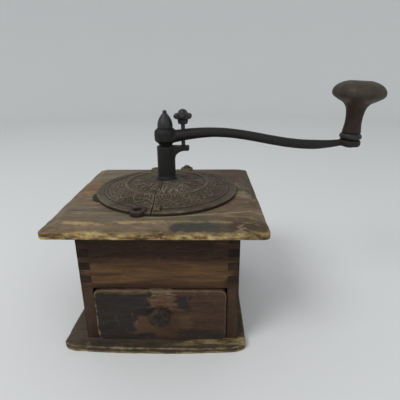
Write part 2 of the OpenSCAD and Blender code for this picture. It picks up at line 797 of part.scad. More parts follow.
module spindle() {
    color("#3a3634") on_axis() difference() {
        rotate_extrude() polygon([[0, spindle_bottom], [journal_r - 0.5, spindle_bottom],
            [journal_r, spindle_bottom + 0.5], [journal_r, journal_top], [spindle_r, journal_top],
            [spindle_r, crank_hub_top - 0.5], [journal_r, crank_hub_top - 0.5],
            [journal_r, thread_top], [0, thread_top]]);
        box([-2 * spindle_r, -2 * spindle_r, flat_bottom],
            [-spindle_r + flat_depth, 2 * spindle_r, crank_hub_top - 0.5]);
        translate([0, 0, runner_z + runner_h / 2]) rotate([90, 0, 0])
            cylinder(r = bowl_screw_r + hole_gap, h = 3 * spindle_r, center = true);
    }
}

// The round hole with one flat side that slides on the spindle
module keyed_bore(z0, z1) {
    difference() {
        translate([0, 0, z0]) cylinder(r = spindle_r + run_gap, h = z1 - z0);
        box([-2 * spindle_r, -2 * spindle_r, z0 - cut],
            [-spindle_r + flat_depth - run_gap, 2 * spindle_r, z1 + cut]);
    }
}

module bridge_bar() {
    color("#3c3632") on_axis() difference() {
        translate([0, 0, bridge_bottom]) linear_extrude(bridge_t) {
            square([2 * bridge_ear_d, bridge_w], center = true);
            for (s = [-1, 1]) translate([s * bridge_ear_d, 0]) circle(bridge_ear_r);
        }
        translate([0, 0, bridge_bottom - cut]) cylinder(r = journal_r + run_gap, h = bridge_t + 2 * cut);
        for (s = [-1, 1]) translate([s * bridge_ear_d, 0, bridge_bottom - cut])
            cylinder(r = wood_screw_r + hole_gap, h = bridge_t + 2 * cut);
    }
}

module bridge_screws() {
    color("#3a3430") on_axis() for (s = [-1, 1])
        translate([s * bridge_ear_d, 0, bridge_top + bridge_ear_h - 1]) mirror([0, 0, 1])
            flat_screw(wood_screw_r, bridge_t + bridge_ear_h - 1 + wood_screw_head_h,
                wood_screw_head_r, wood_screw_head_h);
}

module column_sleeve() {
    lug_bottom = column_top - lug_t;
    color("#2a2826") on_axis() difference() {
        union() {
            rotate_extrude() polygon([[0, column_z], [column_foot_r, column_z],
                [column_foot_r, column_z + 0.8], [column_r, column_z + 3.5],
                [column_r, column_top - 0.6], [column_r - 0.6, column_top], [0, column_top]]);
            intersection() {
                rotate([90, 0, 0]) linear_extrude(lug_w, center = true)
                    polygon(concat([[0, column_top], [lug_reach, column_top], [lug_reach, lug_bottom],
                        [lug_reach - 4, lug_bottom]],
                        [for (a = [0:10:90]) [column_r + (lug_reach - 4 - column_r) * (1 - sin(a)),
                            lug_bottom - gusset_h * (1 - cos(a))]],
                        [[0, lug_bottom - gusset_h]]));
                translate([lug_reach / 2 - 6, 0, column_z]) cylinder(r = lug_reach / 2 + 6, h = column_h);
            }
        }
        keyed_bore(column_z - cut, column_top + cut);
    }
}

// The arm's outline as seen along Y once it is turned about X
module arm_outline(turn) {
    xs = [for (i = [0:arm_steps]) arm_start + (arm_end - arm_start) * i / arm_steps];
    polygon(concat([for (x = xs) [x, arm_height(x) * cos(turn) + arm_half(x)]],
        [for (i = [arm_steps:-1:0]) [xs[i], arm_height(xs[i]) * cos(turn) - arm_half(xs[i])]]));
}

// A many sided bar that follows the wave: the same outline cut from several sides
module arm_bar() {
    intersection_for(turn = [0:360 / arm_sides:179]) rotate([turn + 90, 0, 0])
        linear_extrude(3 * arm_mid_z, center = true) arm_outline(turn);
}

module crank_arm() {
    mid = (hub_chamfer + crank_hub_h) / 2;
    color("#2b2826") difference() {
        union() {
            on_axis() {
                arm_bar();
                translate([0, 0, column_top]) cylinder(r = crank_neck_r, h = crank_neck_h + cut);
                intersection() {
                    translate([0, 0, crank_hub_z]) rotate_extrude() polygon([[0, 0], [crank_neck_r + 0.8, 0],
                        [crank_hub_r, hub_chamfer], [crank_hub_r + 0.4, mid],
                        [crank_hub_r, crank_hub_h - hub_chamfer], [nut_r + 0.5, crank_hub_h],
                        [0, crank_hub_h]]);
                    translate([0, 0, crank_hub_z]) rotate(22.5)
                        cylinder(r = (crank_hub_r - 0.1) / cos(22.5), h = crank_hub_h, $fn = 8);
                }
            }
            on_handle() translate([0, 0, -boss_h / 2]) rotate_extrude() polygon([[0, 0], [boss_r - 1.5, 0],
                [boss_r, 1.5], [boss_r, boss_h - 1], [boss_r - 1, boss_h], [0, boss_h]]);
        }
        on_axis() {
            keyed_bore(column_top - cut, crank_hub_top + cut);
            translate([screw_d, 0, crank_hub_z]) cylinder(r = screw_r + run_gap, h = crank_hub_h + 6);
        }
        on_handle() cylinder(r = pin_r + hole_gap, h = boss_h + 2 * cut, center = true);
    }
}

module acorn_nut() {
    tip_r = 2.1;
    bulge_h = nut_h - 2.4;
    color("#2f2b29") on_axis() translate([0, 0, crank_hub_top]) difference() {
        rotate_extrude() polygon(concat([[0, 0], [nut_r, 0]],
            [for (t = [0:0.125:1]) [nut_r - (nut_r - tip_r * 0.7) * pow(t, 2.2), 1.5 + (bulge_h - 1.5) * t]],
            [for (a = [-40:20:90]) [tip_r * cos(a), nut_h - tip_r + tip_r * sin(a)]]));
        translate([0, 0, -cut])
            cylinder(r = journal_r + hole_gap, h = thread_top - crank_hub_top + 0.5 + cut);
    }
}

// A thumb screw whose head has a ring of lobes, cut by grooves, under a small dome
module thumb_screw() {
    head_z = screw_len + screw_collar_h;
    dome_z = head_z + screw_head_h;
    groove_r = 3;
    color("#2b2826") on_axis() translate([screw_d, 0, column_top]) difference() {
        rotate_extrude() polygon(concat([[0, 0], [screw_r, 0], [screw_r, screw_len],
            [screw_collar_r * 0.83, screw_len], [screw_collar_r, head_z],
            [screw_head_r - 1.5, head_z + 0.2], [screw_head_r, head_z + 1.7],
            [screw_head_r, dome_z - 2], [screw_head_r - 1.5, dome_z - 0.6], [screw_dome_r + 0.6, dome_z]],
            [for (a = [0:15:90]) [screw_dome_r * cos(a), dome_z + screw_dome_h * sin(a)]]));
        for (k = [1:screw_lobes]) rotate(k * 360 / screw_lobes)
            translate([screw_head_r + groove_r - 1.8, 0, head_z - cut])
                cylinder(r = groove_r, h = screw_head_h + 2 * cut);
    }
}

module handle_knob() {
    color("#4a3428") on_handle() difference() {
        rotate_extrude() polygon(concat([[0, handle_z]],
            [for (p = handle_outline) [handle_r * p[0], handle_z + handle_h * p[1]]],
            [[0, handle_top]]));
        translate([0, 0, handle_z - cut]) cylinder(r = pin_r + run_gap, h = handle_h + 2 * cut);
        translate([0, 0, handle_top - pin_seat_h]) cylinder(r = pin_seat_r, h = pin_seat_h + cut);
    }
}

module handle_ferrule() {
    color("#2f2b29") on_handle() difference() {
        translate([0, 0, ferrule_z]) rotate_extrude() polygon(concat([[0, 0]],
            [for (a = [-75:15:75]) [ferrule_r - ferrule_h / 2 + ferrule_h / 2 * cos(a),
                ferrule_h / 2 + ferrule_h / 2 * sin(a)]],
            [[0, ferrule_h]]));
        translate([0, 0, ferrule_z - cut]) cylinder(r = pin_r + run_gap, h = ferrule_h + 2 * cut);
    }
}

module handle_pin() {
    head_z = handle_top - pin_seat_h + handle_play;
    color("#3a3430") on_handle() rotate_extrude() polygon(concat([[0, -boss_h / 2 - rivet_h],
        [pin_head_r - 1, -boss_h / 2 - rivet_h], [pin_head_r, -boss_h / 2], [pin_r, -boss_h / 2],
        [pin_r, head_z], [pin_head_r, head_z]],
        [for (a = [0:30:90]) [pin_head_r * cos(a), head_z + 0.4 + (pin_head_h - 0.4) * sin(a)]]));
}

base_board();
left_side();
right_side();
front_board();
back_board();
top_board();
corner_blocks();
block_screws();
base_nails();
drawer_front();
drawer_left();
drawer_right();
drawer_back();
drawer_bottom();
drawer_knob();
knob_screw();
drawer_nails();
fixed_plate();
swing_lid();
lid_pivot_screw();
plate_screw();
plate_bolts();
hopper_bowl();
bowl_screws();
burr_ring();
ring_screws();
runner_burr();
runner_pin();
spindle();
bridge_bar();
bridge_screws();
column_sleeve();
crank_arm();
acorn_nut();
thumb_screw();
handle_knob();
handle_ferrule();
handle_pin();
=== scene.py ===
import json
import math

import bmesh
import bpy
import numpy as np
from mathutils import Matrix, Vector


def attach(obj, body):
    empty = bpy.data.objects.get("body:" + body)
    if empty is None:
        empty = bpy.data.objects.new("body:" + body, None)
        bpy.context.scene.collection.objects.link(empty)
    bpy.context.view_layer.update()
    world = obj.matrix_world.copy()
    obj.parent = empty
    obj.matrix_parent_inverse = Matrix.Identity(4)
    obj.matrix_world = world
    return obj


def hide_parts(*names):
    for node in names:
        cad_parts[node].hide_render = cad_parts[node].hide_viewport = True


# What the frame says

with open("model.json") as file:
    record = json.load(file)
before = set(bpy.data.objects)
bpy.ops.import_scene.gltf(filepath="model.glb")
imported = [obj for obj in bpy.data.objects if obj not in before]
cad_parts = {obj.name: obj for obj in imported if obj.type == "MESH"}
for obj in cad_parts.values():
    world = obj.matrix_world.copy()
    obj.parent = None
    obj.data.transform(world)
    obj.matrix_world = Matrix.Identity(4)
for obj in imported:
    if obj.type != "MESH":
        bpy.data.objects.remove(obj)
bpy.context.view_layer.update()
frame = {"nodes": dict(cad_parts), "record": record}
NODES = frame["nodes"]
BEHAVIOUR = frame["record"]["behaviour"]
BODY_OF = {node: body for body, members in BEHAVIOUR["bodies"].items() for node in members}
CRANK_TURN = [joint for joint in BEHAVIOUR["joints"] if joint["name"] == "crank_turn"][0]

MM = 0.001


def points(me):
    """The places of a mesh's points, n by 3, in metres."""
    co = np.empty(len(me.vertices) * 3, np.float32)
    me.vertices.foreach_get("co", co)
    return co.reshape(-1, 3).astype(float)


def middle_and_reach(node):
    """The middle of a CAD node's box, and how far the box reaches from there along X, Y and Z."""
    co = points(NODES[node].data)
    low, high = co.min(0), co.max(0)
    return (low + high) / 2, (high - low) / 2


AXIS = np.array(CRANK_TURN["pos_m"][:2])
CASE_X = middle_and_reach("front_board")[1][0]
CASE_Y = middle_and_reach("left_side")[1][1]
BOARD_TOP = points(NODES["top_board"].data)[:, 2].max()

# The domed plate's rings, from its axis outward
HUB_R = 9.2 * MM
RING_R = 40.0 * MM
RIM_R = 60.0 * MM
# The plate's empty ear at the front left, seen from above, in millimetres
FRONT_EAR = (-16.2, -64.1)


# Numbers and noise

def smoothstep(lo, hi, x):
    """0 on lo's side, 1 on hi's side, smooth in between. lo may be the larger one."""
    t = np.clip((x - lo) / (hi - lo), 0, 1)
    return t * t * (3 - 2 * t)


def lattice(ix, iy, iz, seed):
    """A repeatable random number from 0 to 1 at each whole-numbered point. The large numbers only
    scramble the place."""
    h = (ix * 374761393 + iy * 668265263 + iz * 2147483647 + seed * 974634777) & 0x7FFFFFFF
    h = ((h ^ (h >> 13)) * 1274126177) & 0x7FFFFFFF
    return ((h ^ (h >> 16)) & 0xFFFF) / 65535.0


def noise(co, size, seed):
    """Smooth noise from -1 to 1 whose blobs are about size across."""
    q = co / size
    cell = np.floor(q).astype(np.int64)
    f = q - cell
    f = f * f * (3 - 2 * f)
    total = 0
    for dx in (0, 1):
        for dy in (0, 1):
            for dz in (0, 1):
                share = np.abs(1 - dx - f[:, 0]) * np.abs(1 - dy - f[:, 1]) * np.abs(1 - dz - f[:, 2])
                total = total + share * lattice(cell[:, 0] + dx, cell[:, 1] + dy, cell[:, 2] + dz, seed)
    return 2 * total - 1


def rough_noise(co, size, octaves, seed):
    """Noise with ever finer noise on it, each octave half as large and half as strong."""
    three_octaves = 1 + 1 / 2 + 1 / 4
    total = sum(noise(co, size / 2 ** k, seed + k) / 2 ** k for k in range(octaves))
    return total / three_octaves


# Meshes

def welded(node):
    """A CAD node's mesh with its double points joined."""
    bm = bmesh.new()
    bm.from_mesh(NODES[node].data)
    bmesh.ops.remove_doubles(bm, verts=bm.verts, dist=0.004 * MM)
    return bm


def to_mesh(bm, name):
    """A mesh out of a bmesh, which is used up."""
    me = bpy.data.meshes.new(name)
    bm.to_mesh(me)
    bm.free()
    return me


def in_scene(name, data):
    """A new object in the scene for a mesh, a lamp or a camera."""
    ob = bpy.data.objects.new(name, data)
    bpy.context.scene.collection.objects.link(ob)
    return ob


def remeshed(me, name, voxel):
    """The mesh made again out of small, even faces about voxel across."""
    ob = in_scene(name, me)
    m = ob.modifiers.new("voxel", "REMESH")
    m.mode = "VOXEL"
    m.voxel_size = voxel
    m.adaptivity = 0
    dg = bpy.context.evaluated_depsgraph_get()
    out = bpy.data.meshes.new_from_object(ob.evaluated_get(dg))
    bpy.data.objects.remove(ob)
    bpy.data.meshes.remove(me)
    return out


def set_points(me, co):
    """Moves a mesh's points to these places."""
    me.vertices.foreach_set("co", co.astype(np.float32).ravel())
    me.update()


def normals(me):
    """Which way a mesh's points face, n by 3."""
    n = np.empty(len(me.vertices) * 3, np.float32)
    me.vertex_normals.foreach_get("vector", n)
    return n.reshape(-1, 3).astype(float)


def edge_pairs(me):
    """The two point numbers of each edge."""
    e = np.empty(len(me.edges) * 2, np.int32)
    me.edges.foreach_get("vertices", e)
    return e.reshape(-1, 2)


def relax(co, pairs, times):
    """Moves each point halfway to the middle of its neighbours, several times."""
    a, b = pairs.T
    n = len(co)
    neighbours = np.maximum(np.bincount(a, minlength=n) + np.bincount(b, minlength=n), 1)[:, None]
    for _ in range(times):
        total = np.stack([np.bincount(a, co[b, k], n) + np.bincount(b, co[a, k], n) for k in range(3)], 1)
        co = co + (total / neighbours - co) / 2
    return co


def all_smooth(me):
    """Shades all faces of a mesh smooth."""
    me.polygons.foreach_set("use_smooth", np.ones(len(me.polygons), bool))


def piece(me, name, body, material, replaces):
    """Puts a finished mesh into the scene on its body, in the place of CAD nodes."""
    ob = in_scene(name, me)
    me.materials.clear()
    me.materials.append(material)
    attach(ob, body)
    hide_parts(*replaces)


# How smooth the surface is that ridges are measured from, and how strongly they count
SOFT_ROUNDS = 14
RIDGE_GAIN = 1.6


def worn(node, material, voxel, rounds, wobble, blob, seed, shape=None):
    """A CAD node made again as a fine mesh with rounded, uneven edges. voxel, wobble and blob are in
    millimetres. shape(co, normal) moves the points. The attribute edge is above 0 on ridges and
    below 0 in hollows."""
    me = remeshed(to_mesh(welded(node), node), node, voxel * MM)
    pairs = edge_pairs(me)
    co = relax(points(me), pairs, rounds)
    set_points(me, co)
    n = normals(me)
    co = co + n * (wobble * MM * rough_noise(co, blob * MM, 3, seed))[:, None]
    if shape:
        co = shape(co, n)
    set_points(me, co)
    soft = relax(co, pairs, SOFT_ROUNDS)
    ridge = ((co - soft) * normals(me)).sum(1) / (voxel * MM)
    layer = me.attributes.new("edge", "FLOAT", "POINT")
    layer.data.foreach_set("value", np.clip(ridge * RIDGE_GAIN, -1, 1).astype(np.float32))
    all_smooth(me)
    piece(me, node + "_worn", BODY_OF[node], material, [node])


def bevelled(node, material, width, segments, turn):
    """A CAD node made again with bevels of width millimetres where faces meet at over turn degrees."""
    bm = welded(node)
    bmesh.ops.dissolve_limit(bm, angle_limit=math.radians(0.4), verts=bm.verts, edges=bm.edges)
    sharp = [e for e in bm.edges if len(e.link_faces) == 2 and e.calc_face_angle(0) > math.radians(turn)]
    bmesh.ops.bevel(bm, geom=sharp, offset=width * MM, segments=segments, profile=0.6, affect="EDGES",
                    clamp_overlap=True)
    bmesh.ops.remove_doubles(bm, verts=bm.verts, dist=0.002 * MM)
    bmesh.ops.triangulate(bm, faces=bm.faces)
    for e in bm.edges:
        e.smooth = e.calc_face_angle(0) < math.radians(20)
    me = to_mesh(bm, node)
    all_smooth(me)
    piece(me, node + "_piece", BODY_OF[node], material, [node])


# Materials

def rgb(r, g, b):
    """A colour as it looks on a screen, 0 to 255, for a shader."""
    def linear(c):
        c /= 255
        return c / 12.92 if c < 0.04045 else ((c + 0.055) / 1.055) ** 2.4
    return (linear(r), linear(g), linear(b), 1)


def darker(colour, share):
    """A shader colour with this share of its light."""
    return tuple(c * share for c in colour[:3]) + (1,)


class Paint:
    """Builds one material out of nodes. Sockets and plain numbers can be mixed freely. x, y and z are
    the place on the part. Lengths are in metres, apart from those of patch and disc."""

    def __init__(self, name):
        self.material = bpy.data.materials.new(name)
        self.material.use_nodes = True
        self.tree = self.material.node_tree
        self.tree.nodes.clear()
        out = self.node("ShaderNodeOutputMaterial")
        self.shader = self.node("ShaderNodeBsdfPrincipled")
        self.link(self.shader.outputs[0], out.inputs[0])
        self.place = self.node("ShaderNodeTexCoord").outputs["Object"]
        xyz = self.node("ShaderNodeSeparateXYZ")
        self.link(self.place, xyz.inputs[0])
        self.x, self.y, self.z = xyz.outputs

    def node(self, kind, **settings):
        n = self.tree.nodes.new(kind)
        for k, v in settings.items():
            setattr(n, k, v)
        return n

    def link(self, a, b):
        self.tree.links.new(a, b)

    def put(self, value, socket):
        """Gives a socket a plain value, or the output of another node."""
        if isinstance(value, bpy.types.NodeSocket):
            self.link(value, socket)
        else:
            socket.default_value = value

    def math(self, op, a, b=0.0):
        n = self.node("ShaderNodeMath", operation=op)
        self.put(a, n.inputs[0])
        self.put(b, n.inputs[1])
        return n.outputs[0]

    def fold(self, op, values):
        """One value out of several, by the same operation on each in turn."""
        out = values[0]
        for v in values[1:]:
            out = self.math(op, out, v)
        return out

    def times(self, *values):
        return self.fold("MULTIPLY", values)

    def plus(self, *values):
        return self.fold("ADD", values)

    def most(self, *values):
        return self.fold("MAXIMUM", values)

    def absolute(self, value):
        return self.math("ABSOLUTE", value)

    def step(self, value, lo, hi, a=0.0, b=1.0):
        """a where value is under lo, b where it is over hi, smooth in between."""
        n = self.node("ShaderNodeMapRange", interpolation_type="SMOOTHSTEP")
        for v, i in zip((value, lo, hi, a, b), range(5)):
            self.put(v, n.inputs[i])
        return n.outputs[0]

    def between(self, value, lo, hi, soft):
        """1 where value lies from lo to hi, with soft edges."""
        return self.times(self.step(value, lo - soft, lo + soft),
                          self.step(value, hi - soft, hi + soft, 1.0, 0.0))

    def patch(self, a, a0, a1, b, b0, b1, soft, ragged, reach_a, reach_b):
        """1 inside a rectangle in millimetres. The noise called ragged moves its outline by up
        to about 0.6 of each reach."""
        shift = self.plus(ragged, -0.5)
        pa = self.plus(a, self.times(shift, reach_a * 2 * MM))
        pb = self.plus(b, self.times(shift, reach_b * 2 * MM))
        return self.times(self.between(pa, a0 * MM, a1 * MM, soft * MM),
                          self.between(pb, b0 * MM, b1 * MM, soft * MM))

    def disc(self, centre, radius, soft):
        """1 within a radius of a point seen from above, all in millimetres."""
        dx, dy = (self.plus(a, -c * MM) for a, c in zip((self.x, self.y), centre))
        away = self.math("SQRT", self.plus(self.times(dx, dx), self.times(dy, dy)))
        return self.step(away, (radius - soft) * MM, (radius + soft) * MM, 1.0, 0.0)

    def stretched(self, along, stretch, offset=(0, 0, 0)):
        """Coordinates squeezed along one axis, so that noise is drawn out along it."""
        n = self.node("ShaderNodeMapping")
        scale = [1.0, 1.0, 1.0]
        scale["xyz".index(along)] = 1.0 / stretch
        n.inputs["Scale"].default_value = scale
        n.inputs["Location"].default_value = offset
        self.link(self.place, n.inputs[0])
        return n.outputs[0]

    def noise(self, size, detail=4, rough=0.55, twist=0.0, vector=None):
        """Noise from about 0.2 to 0.8 whose blobs are about size across."""
        n = self.node("ShaderNodeTexNoise")
        self.link(vector or self.place, n.inputs["Vector"])
        n.inputs["Scale"].default_value = 0.6 / size
        n.inputs["Detail"].default_value = detail
        n.inputs["Roughness"].default_value = rough
        n.inputs["Distortion"].default_value = twist
        return n.outputs[0]

    def attribute(self, name):
        return self.node("ShaderNodeAttribute", attribute_name=name).outputs["Fac"]

    def ramp(self, fac, *stops):
        """Colours at their places from 0 to 1, blended in between."""
        n = self.node("ShaderNodeValToRGB")
        e = n.color_ramp.elements
        while len(e) < len(stops):
            e.new(0.5)
        for el, (pos, colour) in zip(e, stops):
            el.position = pos
            el.color = colour
        self.put(fac, n.inputs[0])
        return n.outputs[0]

    def mix(self, fac, a, b, kind="MIX"):
        """a where fac is 0 and b where it is 1."""
        n = self.node("ShaderNodeMix", data_type="RGBA", blend_type=kind)
        self.put(fac, n.inputs[0])
        self.put(a, n.inputs[6])
        self.put(b, n.inputs[7])
        return n.outputs[2]

    def shade(self, fac, colour, amount):
        """The colour made darker or lighter where fac is 1."""
        return self.mix(fac, colour, self.mix(1.0, colour, (amount, amount, amount, 1), "MULTIPLY"))

    def bump(self, height, depth):
        """height from 0 to 1 stands for depth."""
        n = self.node("ShaderNodeBump")
        n.inputs["Strength"].default_value = 1.0
        n.inputs["Distance"].default_value = depth
        self.put(height, n.inputs["Height"])
        return n.outputs[0]

    def finish(self, colour, rough, shine, normal=None, metal=0.0):
        self.put(colour, self.shader.inputs["Base Color"])
        self.put(rough, self.shader.inputs["Roughness"])
        self.shader.inputs["Metallic"].default_value = metal
        self.shader.inputs["Specular IOR Level"].default_value = shine
        if normal is not None:
            self.link(normal, self.shader.inputs["Normal"])
        return self.material


def wood_grain(p, along):
    """Broad figure, fine fibres and pores, as three sockets."""
    v = p.stretched(along, 14)
    figure = p.noise(0.006, 5, 0.6, 0.6, v)
    fibres = p.noise(0.006 / 9, 6, 0.7, 0.2, v)
    pores = p.step(p.noise(0.006 / 14, 2, 0.5, 0.0, p.stretched(along, 8.4)), 0.60, 0.70)
    return figure, fibres, pores


def worn_ridge(p, size, lo=0.15, hi=0.6):
    """1 on ridges, broken up by noise."""
    ridge = p.plus(p.attribute("edge"), p.times(p.plus(p.noise(size, 5, 0.75), -0.5), 2.2))
    return p.step(ridge, lo, hi)


def old_wood(p, tones, along, patch, grime, seed):
    """Old wood's colour, bump height and blotches: grain along one axis, streaks, dents and specks of
    dirt. tones are its dark, middle and light colour as they look on a screen."""
    dark, mid, light = (rgb(*tone) for tone in tones)
    black = darker(dark, 0.4)
    figure, fibres, pores = wood_grain(p, along)
    streaks = p.noise(0.012, 4, 0.65, 0.3, p.stretched(along, 8, (seed * 0.7, seed, seed)))
    tone = p.plus(p.times(figure, 0.40), p.times(fibres, 0.30), p.times(streaks, 0.30))
    colour = p.ramp(tone, (0.36, dark), (0.49, mid), (0.62, light))
    blotch = p.noise(patch, 5, 0.65, 0.8, p.stretched(along, 1.8, (seed, seed, seed)))
    colour = p.mix(p.step(blotch, 0.47, 0.66, 0.0, grime), colour, dark)
    colour = p.mix(p.times(pores, 0.6), colour, black)
    specks = p.step(p.noise(0.0011, 3, 0.6), 0.66, 0.72)
    colour = p.mix(p.times(specks, p.step(blotch, 0.42, 0.58), 0.55), colour, black)
    height = p.plus(p.times(fibres, 0.6), p.times(pores, -0.5), p.times(streaks, 0.5), p.times(specks, -0.3))
    return colour, height, blotch


def finish_wood(p, colour, height, blotch, rough=0.72, depth=0.35 * MM):
    """Dull old varnish, duller in the blotches."""
    roughness = p.step(blotch, 0.3, 0.7, rough - 0.1, rough + 0.12)
    return p.finish(colour, roughness, 0.18, p.bump(height, depth))


def inner_wood(name, along):
    """Bare wood inside the case and the drawer, darkened in places by coffee dust."""
    p = Paint(name)
    colour, height, blotch = old_wood(p, ((104, 78, 52), (134, 104, 72), (156, 126, 92)), along, 0.03, 0.7, 0)
    return finish_wood(p, colour, height, blotch)


def case_wood():
    """Front and back boards: painted shadow under the top board, a golden band above the drawer, dark end
    grain.
    """
    p = Paint("wood_case_old")
    colour, height, blotch = old_wood(p, ((40, 28, 21), (61, 43, 31), (84, 61, 42)), "x", 0.03, 0.35, 2)
    wander = p.noise(0.012, 5, 0.7, 0.4, p.stretched("x", 7))
    # Painted shadow: the boards are made darker just under the top board, where its overhang shades them.
    colour = p.shade(p.patch(p.z, 92, 130, p.x, -200, 200, 7, wander, 14, 0), colour, 0.66)
    golden = p.times(p.patch(p.z, 67, 86, p.x, -66, 62, 4, wander, 12, 20), 0.75)
    colour = p.mix(golden, colour, p.ramp(p.noise(0.002, 5, 0.7, 0.2, p.stretched("x", 12)),
                                          (0.35, rgb(72, 53, 36)), (0.62, rgb(112, 84, 54))))
    colour = p.shade(p.patch(p.x, -73, -61, p.z, 0, 200, 1.5, wander, 5, 0), colour, 1.18)
    ends = p.step(p.absolute(p.x), CASE_X - 1.0 * MM, CASE_X - 0.3 * MM)
    colour = p.shade(ends, colour, 0.55)
    scratch = p.step(p.noise(0.004, 2, 0.5, 1.5, p.stretched("x", 0.16, (3, 1, 2))), 0.695, 0.715)
    colour = p.mix(p.times(scratch, 0.3), colour, rgb(120, 96, 70))
    return finish_wood(p, colour, height, blotch)


def side_wood():
    """Side boards: grain runs front to back, the finger ends in the front and back faces are nearly black,
    and a painted shadow lies under the top board.
    """
    p = Paint("wood_side_old")
    colour, height, blotch = old_wood(p, ((40, 31, 25), (62, 48, 37), (84, 64, 46)), "y", 0.04, 0.5, 4)
    front_back = p.step(p.absolute(p.y), CASE_Y - 1.0 * MM, CASE_Y - 0.3 * MM)
    fingers = p.times(front_back, p.step(p.z, 0.060, 0.066))
    colour = p.shade(fingers, colour, 0.52)
    stile = p.times(front_back, p.step(p.z, 0.060, 0.066, 1.0, 0.0))
    colour = p.mix(p.times(stile, 0.6), colour, p.ramp(p.noise(0.003, 5, 0.7, 0.2, p.stretched("z", 7)),
                                                      (0.35, rgb(50, 36, 30)), (0.62, rgb(78, 58, 46))))
    wander = p.noise(0.02, 5, 0.7, 0.4, p.stretched("y", 4))
    # Painted shadow: the boards are made darker just under the top board's overhang.
    colour = p.shade(p.patch(p.z, 88, 130, p.y, -200, 200, 8, wander, 20, 0), colour, 0.72)
    rubbed = p.patch(p.z, 30, 62, p.y, -50, 40, 8, wander, 30, 40)
    colour = p.mix(p.times(rubbed, 0.4), colour, rgb(92, 70, 50))
    return finish_wood(p, colour, height, blotch)


def top_face(p, colour, wander, fine):
    """The top board's flat: grey and reddish areas, rubs and dirt, darker at the right and the back."""
    big = p.noise(0.05, 5, 0.65, 0.5, p.stretched("x", 2.2, (2, 5, 1)))
    colour = p.mix(p.step(big, 0.45, 0.58, 0.0, 0.6), colour, rgb(104, 100, 85))
    colour = p.mix(p.times(p.step(big, 0.36, 0.46, 1.0, 0.0), 0.5), colour, rgb(122, 94, 72))
    rubs = p.step(p.noise(0.007, 5, 0.7, 0.8, p.stretched("x", 4.5, (9, 1, 1))), 0.56, 0.66)
    colour = p.mix(p.times(rubs, 0.65), colour, rgb(158, 140, 112))
    dirt = p.step(p.noise(0.009, 5, 0.7, 0.8, p.stretched("x", 3.5, (1, 9, 4))), 0.56, 0.66)
    colour = p.mix(p.times(dirt, 0.6), colour, rgb(66, 56, 46))
    reddish = p.patch(p.y, -12, 32, p.x, -92, -58, 4, wander, 22, 20)
    colour = p.mix(p.times(reddish, 0.6), colour,
                   p.ramp(fine, (0.4, rgb(98, 70, 54)), (0.62, rgb(146, 118, 88))))
    right = p.step(p.plus(p.x, p.times(p.plus(big, -0.5), 0.09)), -0.01, 0.06)
    colour = p.shade(right, colour, 0.70)
    back = p.step(p.plus(p.y, p.times(p.plus(big, -0.5), 0.08)), -0.050, -0.010)
    colour = p.shade(p.times(back, p.step(p.x, 0.02, 0.07)), colour, 0.66)
    corner = p.patch(p.x, 60, 84, p.y, 30, 70, 4, wander, 14, 14)
    return p.mix(p.times(corner, 0.6), colour, rgb(92, 70, 56))


def top_bevel(p, colour, over, wander, fine, thin):
    """The top board's front bevel: light brown at the left, a black stain, dark at the right, and a
    pale worn line along its upper edge."""
    front = p.step(p.y, -0.0800, -0.0790, 1.0, 0.0)
    brown = p.ramp(p.plus(p.times(fine, 0.5), p.times(wander, 0.5)),
                   (0.40, rgb(84, 66, 50)), (0.60, rgb(140, 118, 92)))
    colour = p.mix(p.times(front, over, p.step(p.x, 0.0, 0.03, 0.55, 0.0)), colour, brown)
    stain = p.patch(p.x, 13, 53, p.y, -92.5, -80.5, 2.2, wander, 16, 7)
    stain = p.times(stain, over, p.step(fine, 0.34, 0.52, 0.6, 0.95), p.step(p.x, 0.035, 0.060, 1.0, 0.7))
    colour = p.mix(stain, colour, rgb(62, 60, 56))
    colour = p.mix(p.times(front, p.step(p.x, 0.054, 0.062), 0.72), colour, rgb(66, 54, 46))
    line = p.times(p.patch(p.y, -81.6, -77.0, p.x, -84, 84, 0.9, wander, 6, 0), over,
                   p.step(p.plus(p.times(fine, 0.5), p.times(thin, 0.5)), 0.46, 0.56),
                   p.step(p.x, -0.03, 0.03, 0.9, 0.45))
    return p.mix(line, colour, rgb(166, 142, 104))


def top_cracks(p, colour, over, wander, fine):
    """The top board's right front: a pale slanting seam, a net of cracks and a bare wedge. Gives the
    colour and the cracks."""
    slant = p.plus(p.y, 0.0705, p.times(p.x, -0.17), p.times(p.plus(wander, -0.5), 0.004))
    seam = p.times(p.step(p.absolute(slant), 0.0005, 0.0012, 1.0, 0.0), p.step(p.x, -0.012, 0.0), over,
                   p.step(fine, 0.36, 0.48, 0.3, 0.95))
    colour = p.mix(seam, colour, rgb(152, 134, 106))
    along_x = p.absolute(p.plus(p.noise(0.030, 3, 0.6, 0.6, p.stretched("x", 2.4, (5, 1, 2))), -0.5))
    along_y = p.absolute(p.plus(p.noise(0.026, 3, 0.6, 0.6, p.stretched("y", 2.6, (2, 6, 3))), -0.5))
    cracks = p.step(p.math("MINIMUM", along_x, along_y), 0.003, 0.010, 1.0, 0.0)
    cracks = p.times(cracks, p.step(p.x, 0.040, 0.062), p.step(p.noise(0.010, 4, 0.7), 0.46, 0.54), over)
    colour = p.mix(p.times(cracks, 0.55), colour, rgb(140, 122, 96))
    wedge = p.patch(p.x, 66, 86, p.y, -20, -6, 1.5, wander, 8, 12)
    colour = p.mix(p.times(wedge, p.step(fine, 0.40, 0.52), 0.65), colour, rgb(150, 134, 110))
    return colour, cracks


